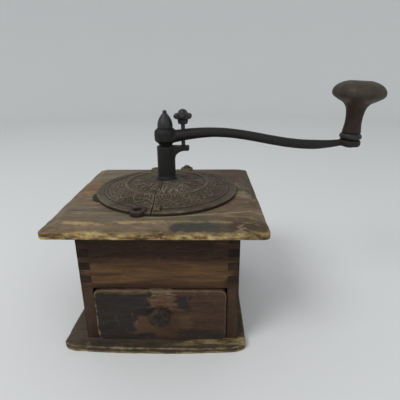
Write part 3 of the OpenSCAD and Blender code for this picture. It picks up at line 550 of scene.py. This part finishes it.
def top_edge(p, colour, fine, thin):
    """The top board's rubbed yellow edge under the bevel, with a ragged upper line."""
    line = p.plus(p.z, p.times(p.plus(thin, -0.5), 0.006), p.times(p.step(p.y, -0.078, -0.084), -0.0017))
    low = p.step(line, 0.1218, 0.1240, 1.0, 0.0)
    grain = p.plus(p.times(p.noise(0.006, 6, 0.75, 0.5, p.stretched("x", 2)), 0.6), p.times(fine, 0.4))
    rubbed = p.ramp(grain, (0.40, rgb(62, 47, 34)), (0.47, rgb(112, 88, 58)),
                    (0.53, rgb(160, 138, 90)), (0.62, rgb(200, 180, 134)))
    rubbed = p.shade(p.step(p.x, 0.04, 0.09), rubbed, 0.70)
    return p.mix(p.times(low, p.step(p.y, -0.07, -0.088, 0.55, 1.0)), colour, rubbed)


def top_wood():
    """Top board: paler at the left, stained at the right, with worn ridges and a rubbed yellow edge."""
    p = Paint("wood_top_old")
    colour, height, blotch = old_wood(p, ((76, 65, 52), (120, 104, 84), (152, 134, 108)), "x", 0.04, 0.35, 6)
    wander = p.noise(0.010, 5, 0.7, 0.4, p.stretched("x", 4))
    fine = p.noise(0.0024, 5, 0.75, 0.3, p.stretched("x", 3))
    thin = p.noise(0.011, 5, 0.75, 0.6, p.stretched("x", 1.5, (3, 3, 3)))
    over = p.step(p.z, 0.1225, 0.1235)
    colour = top_face(p, colour, wander, fine)
    colour = top_bevel(p, colour, over, wander, fine, thin)
    colour, cracks = top_cracks(p, colour, over, wander, fine)
    # Painted shade: near black on the wood where the plate's ear has its hole, standing in for the shade
    # inside it.
    colour = p.mix(p.disc(FRONT_EAR, 4.5, 0.5), colour, rgb(14, 12, 10))
    colour = p.mix(p.times(worn_ridge(p, 0.005), over, 0.45), colour, rgb(146, 124, 90))
    colour = top_edge(p, colour, fine, thin)
    height = p.plus(height, p.times(fine, 0.7), p.times(cracks, -0.6))
    return finish_wood(p, colour, height, blotch, depth=0.5 * MM)


def base_wood():
    """Base board: dark, with a bare worn front edge and a wide worn strip at the front right."""
    p = Paint("wood_base_old")
    colour, height, blotch = old_wood(p, ((46, 40, 34), (70, 61, 52), (94, 82, 68)), "x", 0.03, 0.4, 8)
    wander = p.noise(0.008, 5, 0.7, 0.4, p.stretched("x", 5))
    fine = p.noise(0.002, 5, 0.75, 0.3, p.stretched("x", 4))
    bare = p.ramp(fine, (0.38, rgb(84, 66, 46)), (0.50, rgb(134, 114, 80)), (0.62, rgb(166, 148, 108)))
    line = p.plus(p.y, 0.0805, p.times(p.step(p.x, 0.0, 0.05), -0.0065), p.times(p.plus(wander, -0.5), 0.008))
    wide = p.step(p.x, 0.01, 0.045, 0.0, 0.0022)
    strip = p.step(p.plus(p.absolute(line), p.times(wide, -1.0)), 0.0008, 0.0026, 1.0, 0.0)
    strip = p.times(strip, p.step(p.x, -0.005, 0.03), p.step(p.z, 0.0025, 0.0035))
    colour = p.mix(p.times(strip, 0.9), colour, bare)
    colour = p.shade(p.step(p.y, -0.070, -0.076), colour, 0.74)
    edge = p.times(worn_ridge(p, 0.006, 0.1, 0.8), p.step(p.y, -0.070, -0.079, 0.25, 0.6))
    colour = p.mix(edge, colour, bare)
    foot = p.times(p.step(p.plus(p.z, p.times(p.plus(wander, -0.5), 0.006)), 0.0016, 0.0028, 1.0, 0.0),
                   p.step(p.y, -0.076, -0.080, 0.0, 0.8))
    colour = p.mix(foot, colour, bare)
    left = p.times(p.step(p.x, -0.072, -0.078), 0.35)
    colour = p.mix(left, colour, rgb(88, 80, 70))
    return finish_wood(p, colour, p.plus(height, p.times(fine, 0.6)), blotch)


def drawer_dark(p, flame):
    """Where the drawer front is blackened: the left half, along the bottom, and over the knob."""
    return p.most(
        p.patch(p.x, -80, -9, p.z, 33, 57, 1.6, flame, 22, 5),
        p.patch(p.x, -80, -27, p.z, 12, 36, 1.6, flame, 26, 5),
        p.patch(p.x, -80, -15, p.z, 0, 13, 1.6, flame, 26, 5),
        p.patch(p.x, -26, 3, p.z, 34, 42, 1.6, flame, 20, 5),
        p.patch(p.x, 12, 27, p.z, 40, 54, 2.4, flame, 16, 9),
        p.times(p.patch(p.x, 14, 62, p.z, 5, 19, 2.0, flame, 30, 7), 0.75))


def drawer_rubs(p, colour, fine, small):
    """Pale rubbed places at the middle of the drawer front's upper edge, left of it and over the knob."""
    middle = p.patch(p.x, -9, 12, p.z, 54, 62, 1.6, small, 22, 11)
    colour = p.mix(p.times(middle, p.step(fine, 0.36, 0.56, 0.2, 1.0), 0.8), colour, rgb(130, 114, 88))
    left = p.patch(p.x, -50, -12, p.z, 56.5, 62, 0.8, small, 20, 4)
    colour = p.mix(p.times(left, p.step(fine, 0.42, 0.54), 0.7), colour, rgb(104, 86, 64))
    over_knob = p.patch(p.x, -12, 14, p.z, 42, 52, 1.6, small, 26, 12)
    return p.mix(p.times(over_knob, p.step(fine, 0.44, 0.56), 0.7), colour, rgb(116, 94, 72))


def drawer_wood():
    """Drawer front: blackened at the left, a pale rubbed patch over the knob, brown under it and at
    the right, with a worn rim."""
    p = Paint("wood_front_old")
    colour, height, blotch = old_wood(p, ((46, 35, 28), (68, 50, 38), (88, 66, 50)), "x", 0.03, 0.3, 10)
    flame = p.noise(0.010, 5, 0.7, 0.5, p.stretched("x", 3.5, (4, 2, 7)))
    fine = p.noise(0.0022, 5, 0.75, 0.2, p.stretched("x", 6))
    small = p.noise(0.0045, 5, 0.75, 0.6, p.stretched("x", 2.4, (1, 8, 3)))
    face = p.step(p.y, -0.0722, -0.0712, 1.0, 0.0)
    black = p.ramp(fine, (0.36, rgb(34, 31, 30)), (0.64, rgb(50, 46, 44)))
    above = p.patch(p.x, -20, 18, p.z, 38, 53, 2.0, flame, 20, 7)
    colour = p.mix(p.times(above, 0.7), colour, rgb(98, 74, 58))
    below = p.patch(p.x, -30, 26, p.z, 8, 32, 2.5, flame, 26, 7)
    colour = p.mix(p.times(below, 0.45), colour, rgb(92, 70, 54))
    colour = p.mix(p.times(face, drawer_dark(p, flame), 0.92), colour, black)
    colour = drawer_rubs(p, colour, fine, small)
    nicks = p.times(p.step(p.noise(0.0032, 3, 0.6, 1.2, p.stretched("z", 2.2, (2, 2, 5))), 0.665, 0.70), face)
    colour = p.mix(p.times(nicks, 0.45), colour, rgb(120, 102, 80))
    marks = p.times(p.patch(p.x, 51, 58, p.z, 24, 33, 1.0, small, 7, 8), p.step(fine, 0.44, 0.5))
    colour = p.mix(p.times(marks, 0.85), colour, black)
    slit = p.patch(p.x, 33.8, 34.5, p.z, 46, 58, 0.25, small, 0.8, 6)
    colour = p.mix(p.times(slit, face, 0.8), colour, black)
    rim = p.times(worn_ridge(p, 0.006, 0.2, 0.7), p.step(p.z, 0.050, 0.058, 0.35, 0.75))
    colour = p.mix(rim, colour, rgb(108, 92, 70))
    left_rim = p.patch(p.x, -61, -57.5, p.z, 10, 60, 0.5, flame, 2, 0)
    colour = p.mix(p.times(left_rim, p.step(fine, 0.46, 0.54), face, 0.8), colour, rgb(124, 108, 84))
    return finish_wood(p, colour, p.plus(height, p.times(fine, 0.5)), blotch)


def handle_wood():
    """Handle: greenish brown, rubbed crown over a dark reddish stem."""
    p = Paint("wood_handle_old")
    colour, height, blotch = old_wood(p, ((40, 35, 28), (58, 53, 44), (78, 70, 57)), "z", 0.02, 0.4, 12)
    stem = p.step(p.z, 0.205, 0.216, 1.0, 0.0)
    colour = p.mix(p.times(stem, 0.85), colour, p.ramp(p.noise(0.006, 5, 0.7, 0.3, p.stretched("z", 4)),
                                                       (0.36, rgb(31, 23, 22)), (0.62, rgb(54, 36, 32))))
    ring = p.patch(p.z, 212, 219, p.x, -500, 500, 1.5, p.noise(0.01), 4, 0)
    colour = p.mix(p.times(ring, 0.45), colour, rgb(62, 36, 30))
    return finish_wood(p, colour, height, blotch, 0.5)


def knob_wood():
    """Drawer knob: blackened face, lighter rubbed rim."""
    p = Paint("wood_knob_old")
    colour, height, blotch = old_wood(p, ((22, 20, 17), (34, 30, 26), (48, 41, 34)), "y", 0.01, 0.4, 14)
    colour = p.mix(p.times(worn_ridge(p, 0.004, 0.0, 0.5), 0.6), colour, rgb(84, 67, 52))
    return finish_wood(p, colour, height, blotch, 0.6)


def plate_dust_and_shade(p, colour, small, speck, black):
    """Dust on the plate's ridges, a pale spot and a dark ear, and painted shade in its hollows, on the rim's
    side wall and in the ear's hole.
    """
    edge = p.attribute("edge")
    ridge = p.plus(edge, p.times(p.plus(small, -0.5), 2.6))
    patches = p.step(p.noise(0.014, 5, 0.7, 0.5), 0.42, 0.58, 0.25, 0.9)
    colour = p.mix(p.times(p.step(ridge, 0.15, 0.9), patches), colour, rgb(124, 112, 92))
    # Painted shade: the hollows of the relief are made darker, up to nearly black.
    colour = p.mix(p.step(edge, -0.42, -0.03, 0.85, 0.0), colour, black)
    colour = p.mix(p.times(p.step(speck, 0.62, 0.68), 0.4), colour, black)
    spot = p.patch(p.x, -2, 22, p.y, -34, -8, 4, small, 20, 20)
    colour = p.mix(p.times(spot, p.step(speck, 0.50, 0.60), 0.6), colour, rgb(150, 142, 126))
    # Painted shade: the rim's low side wall is made dark, as if in its own shadow.
    colour = p.mix(p.step(p.z, 0.1310, 0.1325, 0.85, 0.0), colour, rgb(36, 31, 26))
    colour = p.mix(p.times(p.disc(FRONT_EAR, 8, 1.0), 0.7), colour, rgb(48, 38, 32))
    # Painted shade: black where the ear has its hole, standing in for the shade inside it.
    return p.mix(p.disc(FRONT_EAR, 3.9, 0.4), colour, black)


def iron(name, tones, rust, rust_share, rough=0.6, metal=0.0, shine=0.3, over=None):
    """Old iron: blackened, and brown with rust in blotches. tones are its dark, middle and light colour
    as they look on a screen. over(p, colour, small, speck, black) paints what lies on it, and any painted
    shade."""
    p = Paint(name)
    dark, mid, light = (rgb(*tone) for tone in tones)
    big = p.noise(0.02, 5, 0.6, 0.4)
    small = p.noise(0.0025, 5, 0.7)
    speck = p.noise(0.0009, 3, 0.6)
    tone = p.plus(p.times(big, 0.5), p.times(small, 0.3), p.times(speck, 0.2))
    colour = p.ramp(tone, (0.40, dark), (0.5, mid), (0.62, light))
    blotch = p.plus(p.times(p.noise(0.012, 5, 0.65, 0.6), 0.7), p.times(small, 0.3))
    colour = p.mix(p.step(blotch, 0.46, 0.60, 0.0, rust_share), colour, rgb(*rust))
    if over:
        colour = over(p, colour, small, speck, darker(dark, 0.45))
    pits = p.noise(0.0006, 3, 0.6)
    normal = p.bump(p.plus(p.times(pits, 0.5), p.times(small, 0.5)), 0.4 * MM)
    roughness = p.step(small, 0.35, 0.65, rough - 0.1, rough + 0.15)
    return p.finish(colour, roughness, shine, normal, metal)


WOOD_CASE = case_wood()
WOOD_SIDE = side_wood()
WOOD_INNER = inner_wood("wood_inner_bare", "y")
WOOD_INNER_X = inner_wood("wood_inner_bare_x", "x")
WOOD_TOP = top_wood()
WOOD_BASE = base_wood()
WOOD_FRONT = drawer_wood()
WOOD_KNOB = knob_wood()
WOOD_HANDLE = handle_wood()
IRON_PLATE = iron("iron_plate_old", ((48, 41, 33), (76, 67, 55), (98, 88, 72)), (84, 66, 52), 0.5,
                  shine=0.2, over=plate_dust_and_shade)
IRON_DARK = iron("iron_dark_old", ((13, 13, 13), (20, 20, 19), (30, 30, 28)), (36, 29, 25), 0.35, rough=0.55)
IRON_NUT = iron("iron_nut_old", ((20, 20, 20), (30, 30, 29), (44, 44, 42)), (40, 34, 29), 0.3,
                rough=0.45, shine=0.42)
IRON_BOWL = iron("iron_bowl_old", ((44, 40, 36), (66, 60, 54), (84, 76, 68)), (92, 66, 48), 0.6)
BURR_IRON = iron("burr_iron_old", ((48, 46, 44), (74, 72, 69), (98, 95, 90)), (88, 66, 50), 0.4,
                 rough=0.45, metal=0.6)
STEEL = iron("steel_dark_old", ((20, 20, 19), (32, 32, 30), (46, 45, 42)), (44, 35, 29), 0.4, rough=0.5)
SCREW = iron("screw_steel_old", ((38, 36, 33), (56, 52, 47), (74, 69, 62)), (74, 55, 42), 0.6, rough=0.5)


# The plate's cast relief

# The running vine: the circle it swings about, how far and how often
VINE_R = 50.6 * MM
VINE_SWING = 3.1 * MM
VINE_WAVES = 18
# The ring of leaves inside it, and the ring of beads between the two
LEAVES = 16
LEAF_FOOT_R = 17 * MM
LEAF_LENGTH = 18 * MM
LEAF_HALF = 3.6 * MM
BERRY_R = 32.5 * MM
BEADS = 96
BEAD_R = 43.2 * MM


def raised(height, foot, crown, distance):
    """A soft bump, full where distance is under crown and gone where it is over foot. height, foot and
    crown are in millimetres, distance is in metres."""
    return height * MM * smoothstep(foot * MM, crown * MM, distance)


def from_ray(r, a, count, shift=0.0):
    """How far sideways and outward a place lies on the nearest of count evenly turned rays. shift turns
    them by that share of the step from one to the next."""
    turn = 2 * math.pi / count
    away = a - (np.round(a / turn - shift) + shift) * turn
    return r * np.sin(away), r * np.cos(away)


def vine(r, a):
    """A running vine with a five-leaved flower and a bud in each bend."""
    swing = VINE_SWING * np.sin(a * VINE_WAVES)
    slope = VINE_SWING * VINE_WAVES * np.cos(a * VINE_WAVES) / VINE_R
    h = raised(0.5, 0.9, 0.25, np.abs(r - VINE_R - swing) / np.sqrt(1 + slope ** 2))
    for side in (1, -1):
        across, out = from_ray(r, a, VINE_WAVES, side / 4)
        up = out - (VINE_R - side * 2.4 * MM)
        away = np.hypot(across, up)
        petal = 2.3 * MM * (0.72 + 0.28 * np.cos(5 * np.arctan2(up, across)))
        hollow = 0.55 + 0.45 * smoothstep(0.3 * MM, 1.3 * MM, away)
        h = np.maximum(h, 0.65 * MM * smoothstep(petal, petal - 0.9 * MM, away) * hollow)
        bud_up = out - (VINE_R + side * 6.4 * MM)
        h = np.maximum(h, raised(0.5, 1.3, 0.5, np.hypot(across, bud_up * 1.4)))
    return h


def leaf_ring(r, a):
    """Ribbed leaves that point outward, with a berry between each two."""
    across = np.abs(from_ray(r, a, LEAVES)[0])
    half = LEAF_HALF * np.sin(np.pi * np.clip((r - LEAF_FOOT_R) / LEAF_LENGTH, 0, 1) ** 0.8)
    leaf = smoothstep(half, half - 1.1 * MM, across) * (half > 0.2 * MM)
    rib = smoothstep(0.2 * MM, 0.7 * MM, across)
    sideways, out = from_ray(r, a, LEAVES, 0.5)
    berry = raised(0.6, 1.6, 0.7, np.hypot(sideways, out - BERRY_R))
    return np.maximum(0.7 * MM * leaf * (0.6 + 0.4 * rib), berry)


def bead_ring(r, a):
    """A ring of small beads."""
    sideways, out = from_ray(r, a, BEADS)
    return raised(0.5, 1.2, 0.5, np.hypot(sideways, out - BEAD_R))


def dome_height(r):
    """The smooth plate's height over the top board: two cones that meet at the ring."""
    rim, ring, top = 3.8 * MM, 8.4 * MM, 12.0 * MM
    outer = rim + (ring - rim) * (RIM_R - r) / (RIM_R - RING_R)
    inner = ring + (top - ring) * (RING_R - r) / (RING_R - HUB_R)
    return np.where(r > RING_R, outer, inner)


def cast_relief(co, n):
    """Raises the ornament on the plate's upper face, unevenly eaten away, over a rough cast skin."""
    x, y = (co[:, :2] - AXIS).T
    r, a = np.hypot(x, y), np.arctan2(y, x)
    on_top = (n[:, 2] > 0.4) & (np.abs(co[:, 2] - BOARD_TOP - dome_height(r)) < 0.9 * MM)
    free = smoothstep(HUB_R + 0.3 * MM, 12 * MM, r) * smoothstep(RIM_R, 58 * MM, r)
    ornament = 1.2 * np.maximum.reduce([vine(r, a), leaf_ring(r, a), bead_ring(r, a)])
    co = co.copy()
    eaten = 0.55 + 0.45 * smoothstep(-0.5, 0.3, rough_noise(co, 9 * MM, 2, 17))
    co[:, 2] += np.where(on_top, ornament * free * eaten, 0)
    co[:, 2] += np.where(on_top, free * 0.42 * MM * np.clip(rough_noise(co, 2.2 * MM, 2, 15), -0.6, 0.8), 0)
    co[:, 2] += np.where(n[:, 2] > 0.3, 0.12 * MM * rough_noise(co, 3 * MM, 3, 5), 0)
    return co


# The worn boards

def chipped(co, n, rim, size, seed, depth):
    """Takes up to depth millimetres off where rim is 1, in dents about size millimetres across."""
    dents = np.clip(rough_noise(co, size * MM, 4, seed), 0, 1)
    return co - n * (rim * dents * depth * MM)[:, None]


def top_shape(co, n):
    """Dents all round the top board's edge, but not in its underside."""
    middle, reach = middle_and_reach("top_board")
    side = np.abs((co - middle) / reach)[:, :2].max(1)
    upper = co[:, 2] > BOARD_TOP - 10 * MM
    return chipped(co, n, smoothstep(0.86, 1.0, side) * upper, 14, 11, 0.9)


def base_shape(co, n):
    """Bows the base board's front edge out, rounds its corners and rubs its right front low."""
    middle, reach = middle_and_reach("base_board")
    co = co.copy()
    front = smoothstep(-60 * MM, -reach[1], co[:, 1])
    across = (co[:, 0] - middle[0]) / reach[0]
    co[:, 1] -= front * 3.6 * MM * (1 - across ** 2) - front * 1.0 * MM
    co[:, 1] += front * 2.6 * MM * smoothstep(0.86, 1.0, np.abs(across))
    co[:, 0] -= 2.4 * MM * smoothstep(-60 * MM, -88 * MM, co[:, 0]) * smoothstep(0, -80 * MM, co[:, 1])
    side = np.maximum(np.abs(across), np.abs(co[:, 1]) / reach[1])
    co = chipped(co, n, smoothstep(0.93, 1.0, side), 12, 21, 0.8)
    worn_right = smoothstep(5 * MM, 45 * MM, co[:, 0]) * smoothstep(-74 * MM, -84 * MM, co[:, 1])
    lowered = worn_right * (1.3 + 0.5 * rough_noise(co, 7 * MM, 3, 23)) * MM
    co[:, 2] -= np.where(co[:, 2] > 4.5 * MM, lowered, 0)
    return co


def drawer_shape(co, n):
    """Dents round the drawer front's outline, on its outer side."""
    middle, reach = middle_and_reach("drawer_front")
    side = np.abs((co - middle) / reach)[:, [0, 2]].max(1)
    outer = co[:, 1] < -64 * MM
    return chipped(co, n, smoothstep(0.93, 1.0, side) * outer, 8, 31, 0.6)


# The pieces

worn("top_board", WOOD_TOP, voxel=0.85, rounds=3, wobble=0.12, blob=30, seed=3, shape=top_shape)
worn("base_board", WOOD_BASE, voxel=0.9, rounds=3, wobble=0.12, blob=30, seed=4, shape=base_shape)
worn("drawer_front", WOOD_FRONT, voxel=0.6, rounds=3, wobble=0.10, blob=20, seed=5, shape=drawer_shape)
worn("fixed_plate", IRON_PLATE, voxel=0.5, rounds=1, wobble=0.05, blob=10, seed=6, shape=cast_relief)
worn("swing_lid", IRON_PLATE, voxel=0.5, rounds=1, wobble=0.05, blob=10, seed=7, shape=cast_relief)
worn("column_sleeve", IRON_DARK, voxel=0.5, rounds=2, wobble=0.06, blob=6, seed=8)
worn("crank_arm", IRON_DARK, voxel=0.6, rounds=4, wobble=0.10, blob=12, seed=9)
worn("acorn_nut", IRON_NUT, voxel=0.4, rounds=2, wobble=0.05, blob=6, seed=10)
worn("thumb_screw", IRON_NUT, voxel=0.35, rounds=2, wobble=0.05, blob=5, seed=11)
worn("drawer_knob", WOOD_KNOB, voxel=0.4, rounds=2, wobble=0.08, blob=8, seed=12)
worn("handle_knob", WOOD_HANDLE, voxel=0.6, rounds=6, wobble=0.08, blob=20, seed=13)
worn("handle_ferrule", STEEL, voxel=0.4, rounds=2, wobble=0.05, blob=8, seed=14)

SMALL_STEEL = ("lid_pivot_screw", "plate_screw", "plate_bolts", "bowl_screws", "ring_screws", "bridge_screws",
               "block_screws", "knob_screw", "base_nails", "drawer_nails", "runner_pin")
for nodes, material, width, segments, turn in (
        (("front_board", "back_board"), WOOD_CASE, 0.35, 2, 25),
        (("left_side", "right_side"), WOOD_SIDE, 0.35, 2, 25),
        (("drawer_left", "drawer_right", "corner_blocks"), WOOD_INNER, 0.4, 2, 25),
        (("drawer_back", "drawer_bottom"), WOOD_INNER_X, 0.4, 2, 25),
        (SMALL_STEEL, SCREW, 0.12, 2, 35),
        (("handle_pin", "spindle"), STEEL, 0.15, 2, 35),
        (("hopper_bowl", "bridge_bar"), IRON_BOWL, 0.3, 2, 35),
        (("burr_ring", "runner_burr"), BURR_IRON, 0.1, 1, 35)):
    for node in nodes:
        bevelled(node, material, width, segments, turn)


# Floor, lights and camera

def backdrop():
    """A wide round floor that curves up into a wall on all sides."""
    reach, bend, top = 2.4, 0.7, 1.7
    sides, steps = 96, 16
    rows = [(r, 0.0) for r in (0.3, 0.8, reach - bend)]
    for a in np.linspace(0.1, math.pi / 2, steps):
        rows.append((reach - bend + bend * math.sin(a), bend - bend * math.cos(a)))
    rows.append((reach, top))
    bm = bmesh.new()
    turns = [2 * math.pi * k / sides for k in range(sides)]
    rings = [[bm.verts.new((r * math.cos(a), r * math.sin(a), z)) for a in turns] for r, z in rows]
    bm.faces.new(rings[0])
    for low, high in zip(rings, rings[1:]):
        for k in range(sides):
            bm.faces.new([low[k - 1], high[k - 1], high[k], low[k]])
    bmesh.ops.recalc_face_normals(bm, faces=bm.faces)
    me = to_mesh(bm, "backdrop")
    all_smooth(me)
    ob = in_scene("backdrop", me)
    me.materials.append(Paint("backdrop_grey").finish(rgb(223, 225, 226), 0.95, 0.1))


def lamp(name, place, size, power):
    """A round soft lamp that shines on the middle of the part."""
    data = bpy.data.lights.new(name, "AREA")
    data.shape = "DISK"
    data.size = size
    data.energy = power
    ob = in_scene(name, data)
    ob.location = place
    ob.rotation_euler = (Vector((0, 0, 0.1)) - Vector(place)).to_track_quat("-Z", "Y").to_euler()


def room_light(strength):
    """White light from all around."""
    world = bpy.data.worlds.new("soft_room")
    world.use_nodes = True
    background = world.node_tree.nodes["Background"]
    background.inputs["Color"].default_value = (1, 1, 1, 1)
    background.inputs["Strength"].default_value = strength
    bpy.context.scene.world = world


# The photograph's viewpoint, fitted to the corners and rings seen in it
PICTURE_WIDTH = 400
FOCAL_LENGTH = 351.62
PITCH, YAW, ROLL = (math.radians(angle) for angle in (20.24, -1.09, -0.42))
CAMERA_AT = (0.04133, -0.336, 0.24236)


def camera():
    """Looks ahead from the fitted place. Focal length and picture width are in pixels."""
    ahead = Vector((math.sin(YAW) * math.cos(PITCH), math.cos(YAW) * math.cos(PITCH), -math.sin(PITCH)))
    level = Vector((math.cos(YAW), -math.sin(YAW), 0))
    upright = level.cross(ahead)
    right = level * math.cos(ROLL) + upright * math.sin(ROLL)
    up = upright * math.cos(ROLL) - level * math.sin(ROLL)
    data = bpy.data.cameras.new("camera")
    data.sensor_width = 36
    data.lens = FOCAL_LENGTH / PICTURE_WIDTH * data.sensor_width
    data.clip_start, data.clip_end = 0.01, 20
    ob = in_scene("camera", data)
    turn = Matrix((right, up, -ahead)).transposed().to_4x4()
    ob.matrix_world = Matrix.Translation(CAMERA_AT) @ turn
    bpy.context.scene.camera = ob


backdrop()
lamp("key", (-0.9, -0.9, 1.5), 0.9, 14.5)
lamp("fill", (0.9, -1.2, 0.7), 1.2, 3)
room_light(0.60)
bpy.context.scene.view_settings.view_transform = "Standard"
camera()
